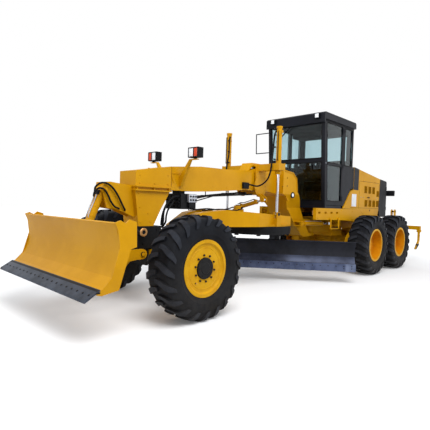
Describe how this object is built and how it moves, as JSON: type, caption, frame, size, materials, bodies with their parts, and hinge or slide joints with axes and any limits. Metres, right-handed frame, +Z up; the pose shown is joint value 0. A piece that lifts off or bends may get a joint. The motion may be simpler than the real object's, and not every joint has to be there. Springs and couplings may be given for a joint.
{
  "type": "motor grader",
  "caption": "Articulated motor grader with slewing moldboard under a curved beam, front blade, glazed cab, louvred hood, tandem driven wheels and rear ripper.",
  "frame": {"origin": "on the ground below the middle of the machine's bounding box", "axes": "+X forward, +Y to the machine's left, +Z up"},
  "size_m": [10.482, 2.9398, 3.47],
  "materials": {
    "yellow_paint": "satin",
    "rim_yellow": "satin",
    "rim_orange": "satin",
    "cab_dark": "satin",
    "dark_paint": "matt",
    "blade_dark": "satin",
    "worn_steel": "brushed",
    "chrome": "polished",
    "engine_iron": "rough",
    "glass": "clear",
    "seat_cloth": "woven",
    "black_plastic": "matt",
    "tyre": "matt"
  },
  "bodies": {
    "rear_frame": {"rear_frame": "yellow_paint", "rear_axle": "yellow_paint", "engine_block": "engine_iron", "hood": "yellow_paint", "grille_housing": "dark_paint", "cab_ends": "cab_dark", "cab_floor": "cab_dark", "cab_glass": "glass", "cab_roof": "cab_dark", "cab_sides": "cab_dark", "seat": "seat_cloth", "controls": "black_plastic", "body_lamps": "black_plastic"},
    "front_frame": {"nose": "yellow_paint", "main_beam": "yellow_paint", "neck": "yellow_paint", "saddle": "yellow_paint", "front_axle": "yellow_paint", "axle_bracket": "dark_paint", "headlamps": "black_plastic", "hydraulics": "dark_paint"},
    "drawbar": {"drawbar": "yellow_paint"},
    "circle": {"circle": "yellow_paint"},
    "blade_carrier": {"blade_carrier": "yellow_paint"},
    "moldboard": {"moldboard": "blade_dark", "cutting_edge": "worn_steel"},
    "lift_barrels": {"lift_barrels": "yellow_paint"},
    "lift_rods": {"lift_rods": "chrome"},
    "shift_rod": {"shift_rod": "chrome"},
    "shift_barrel": {"shift_barrel": "yellow_paint"},
    "front_blade": {"front_blade": "yellow_paint", "front_edge": "worn_steel"},
    "blade_ram_barrel": {"blade_ram_barrel": "yellow_paint"},
    "blade_ram_rod": {"blade_ram_rod": "chrome"},
    "ripper": {"ripper": "yellow_paint", "hitch_lugs": "yellow_paint"},
    "ripper_barrel": {"ripper_barrel": "yellow_paint"},
    "ripper_rod": {"ripper_rod": "chrome"},
    "knuckle_left": {"knuckle_left": "yellow_paint"},
    "steer_barrel_left": {"steer_barrel_left": "yellow_paint"},
    "steer_rod_left": {"steer_rod_left": "chrome"},
    "door_left": {"door_left": "cab_dark", "door_glass_left": "glass"},
    "knuckle_right": {"knuckle_right": "yellow_paint"},
    "steer_barrel_right": {"steer_barrel_right": "yellow_paint"},
    "steer_rod_right": {"steer_rod_right": "chrome"},
    "door_right": {"door_right": "cab_dark", "door_glass_right": "glass"},
    "wheel_front_left": {"tyre_front_left": "tyre", "rim_front_left": "rim_yellow"},
    "wheel_front_right": {"tyre_front_right": "tyre", "rim_front_right": "rim_yellow"},
    "wheel_middle_left": {"tyre_middle_left": "tyre", "rim_middle_left": "rim_orange"},
    "wheel_middle_right": {"tyre_middle_right": "tyre", "rim_middle_right": "rim_orange"},
    "wheel_rear_left": {"tyre_rear_left": "tyre", "rim_rear_left": "rim_orange"},
    "wheel_rear_right": {"tyre_rear_right": "tyre", "rim_rear_right": "rim_orange"}
  },
  "joints": [
    {"name": "articulation", "type": "hinge", "parent": "rear_frame", "child": "front_frame", "pos_m": [-0.981, 0, 1], "axis": [0, 0, 1], "range_deg": [-20, 20]},
    {"name": "steer_left", "type": "hinge", "parent": "front_frame", "child": "knuckle_left", "pos_m": [3.619, 0.775, 0.675], "axis": [0, 0, 1], "range_deg": [-45, 45]},
    {"name": "wheel_front_left_spin", "type": "hinge", "parent": "knuckle_left", "child": "wheel_front_left", "pos_m": [3.619, 1.0775, 0.675], "axis": [0, 1, 0], "continuous": true},
    {"name": "steer_right", "type": "hinge", "parent": "front_frame", "child": "knuckle_right", "pos_m": [3.619, -0.775, 0.675], "axis": [0, 0, 1], "range_deg": [-45, 45]},
    {"name": "wheel_front_right_spin", "type": "hinge", "parent": "knuckle_right", "child": "wheel_front_right", "pos_m": [3.619, -1.0775, 0.675], "axis": [0, 1, 0], "continuous": true},
    {"name": "wheel_middle_left_spin", "type": "hinge", "parent": "rear_frame", "child": "wheel_middle_left", "pos_m": [-1.811, 1.0775, 0.675], "axis": [0, 1, 0], "continuous": true},
    {"name": "wheel_middle_right_spin", "type": "hinge", "parent": "rear_frame", "child": "wheel_middle_right", "pos_m": [-1.811, -1.0775, 0.675], "axis": [0, 1, 0], "continuous": true},
    {"name": "wheel_rear_left_spin", "type": "hinge", "parent": "rear_frame", "child": "wheel_rear_left", "pos_m": [-3.351, 1.0775, 0.675], "axis": [0, 1, 0], "continuous": true},
    {"name": "wheel_rear_right_spin", "type": "hinge", "parent": "rear_frame", "child": "wheel_rear_right", "pos_m": [-3.351, -1.0775, 0.675], "axis": [0, 1, 0], "continuous": true},
    {"name": "drawbar_lift", "type": "hinge", "parent": "front_frame", "child": "drawbar", "pos_m": [3.289, 0, 1], "axis": [0, 1, 0], "range_deg": [-15.5, 5]},
    {"name": "circle_turn", "type": "hinge", "parent": "drawbar", "child": "circle", "pos_m": [1.069, 0, 1.1], "axis": [0, 0, 1], "continuous": true},
    {"name": "blade_pitch", "type": "hinge", "parent": "circle", "child": "blade_carrier", "pos_m": [0.70374, -0.29578, 0.6], "axis": [-0.6293, 0.7771, 0], "range_deg": [-5, 40]},
    {"name": "blade_side_shift", "type": "slide", "parent": "blade_carrier", "child": "moldboard", "axis": [-0.6293, 0.7771, 0], "range_m": [-0.6, 0.4]},
    {"name": "lift_cylinder_swing", "type": "hinge", "parent": "front_frame", "child": "lift_barrels", "pos_m": [1.204, 0, 2.2], "axis": [0, 1, 0], "range_deg": [-0.81, 2.1]},
    {"name": "lift_rod_slide", "type": "slide", "parent": "lift_barrels", "child": "lift_rods", "axis": [0, 0, 1], "range_m": [-0.5753, 0.1869]},
    {"name": "shift_cylinder_swing", "type": "hinge", "parent": "front_frame", "child": "shift_rod", "pos_m": [1.204, 0.3, 1.6], "axis": [0.9897, 0.0352, -0.1386], "range_deg": [-12.37, 37.92]},
    {"name": "shift_cylinder_slide", "type": "slide", "parent": "shift_rod", "child": "shift_barrel", "axis": [0, -0.9692, -0.2462], "range_m": [-0.0848, 0.2586]},
    {"name": "steer_cylinder_swing_left", "type": "hinge", "parent": "front_frame", "child": "steer_barrel_left", "pos_m": [-0.021, 0.4, 1.14], "axis": [0, 0, 1], "range_deg": [-1.27, 1.27]},
    {"name": "steer_rod_slide_left", "type": "slide", "parent": "steer_barrel_left", "child": "steer_rod_left", "axis": [-0.9946, 0.1036, 0], "range_m": [-0.1751, 0.1751]},
    {"name": "steer_cylinder_swing_right", "type": "hinge", "parent": "front_frame", "child": "steer_barrel_right", "pos_m": [-0.021, -0.4, 1.14], "axis": [0, 0, 1], "range_deg": [-1.27, 1.27]},
    {"name": "steer_rod_slide_right", "type": "slide", "parent": "steer_barrel_right", "child": "steer_rod_right", "axis": [-0.9946, -0.1036, 0], "range_m": [-0.1751, 0.1751]},
    {"name": "front_blade_lift", "type": "hinge", "parent": "front_frame", "child": "front_blade", "pos_m": [3.859, 0, 0.76], "axis": [0, -1, 0], "range_deg": [-22, 8]},
    {"name": "blade_ram_swing", "type": "hinge", "parent": "front_frame", "child": "blade_ram_barrel", "pos_m": [4.384, 0, 1.64], "axis": [0, -1, 0], "range_deg": [-6.64, 2.54]},
    {"name": "blade_ram_slide", "type": "slide", "parent": "blade_ram_barrel", "child": "blade_ram_rod", "axis": [0.3811, 0, -0.9245], "range_m": [-0.1159, 0.3154]},
    {"name": "ripper_lift", "type": "hinge", "parent": "rear_frame", "child": "ripper", "pos_m": [-3.931, 0, 0.75], "axis": [0, 1, 0], "range_deg": [-42, 6]},
    {"name": "ripper_ram_swing", "type": "hinge", "parent": "rear_frame", "child": "ripper_barrel", "pos_m": [-3.901, 0, 1.15], "axis": [0, 1, 0], "range_deg": [-41.23, 6.06]},
    {"name": "ripper_ram_slide", "type": "slide", "parent": "ripper_barrel", "child": "ripper_rod", "axis": [-0.9718, 0, 0.2359], "range_m": [-0.0436, 0.2932]},
    {"name": "door_left_swing", "type": "hinge", "parent": "rear_frame", "child": "door_left", "pos_m": [-1.114, 0.725, 2.4], "axis": [0, 0, 1], "range_deg": [0, 90]},
    {"name": "door_right_swing", "type": "hinge", "parent": "rear_frame", "child": "door_right", "pos_m": [-1.114, -0.725, 2.4], "axis": [0, 0, -1], "range_deg": [0, 90]}
  ],
  "couplings": [
    {"joint": "lift_cylinder_swing", "follows": "drawbar_lift", "ratio": -0.1204},
    {"joint": "lift_rod_slide", "follows": "drawbar_lift", "m_per_rad": 2.0777},
    {"joint": "shift_cylinder_swing", "follows": "drawbar_lift", "ratio": -2.3856},
    {"joint": "shift_cylinder_slide", "follows": "drawbar_lift", "m_per_rad": -0.9298},
    {"joint": "steer_cylinder_swing_left", "follows": "articulation", "ratio": -0.0525},
    {"joint": "steer_rod_slide_left", "follows": "articulation", "m_per_rad": -0.4863},
    {"joint": "steer_cylinder_swing_right", "follows": "articulation", "ratio": -0.0525},
    {"joint": "steer_rod_slide_right", "follows": "articulation", "m_per_rad": 0.4863},
    {"joint": "blade_ram_swing", "follows": "front_blade_lift", "ratio": 0.2872},
    {"joint": "blade_ram_slide", "follows": "front_blade_lift", "m_per_rad": -0.8001},
    {"joint": "ripper_ram_swing", "follows": "ripper_lift", "ratio": 0.9578},
    {"joint": "ripper_ram_slide", "follows": "ripper_lift", "m_per_rad": -0.3894},
    {"joint": "steer_right", "follows": "steer_left", "ratio": 1}
  ]
}
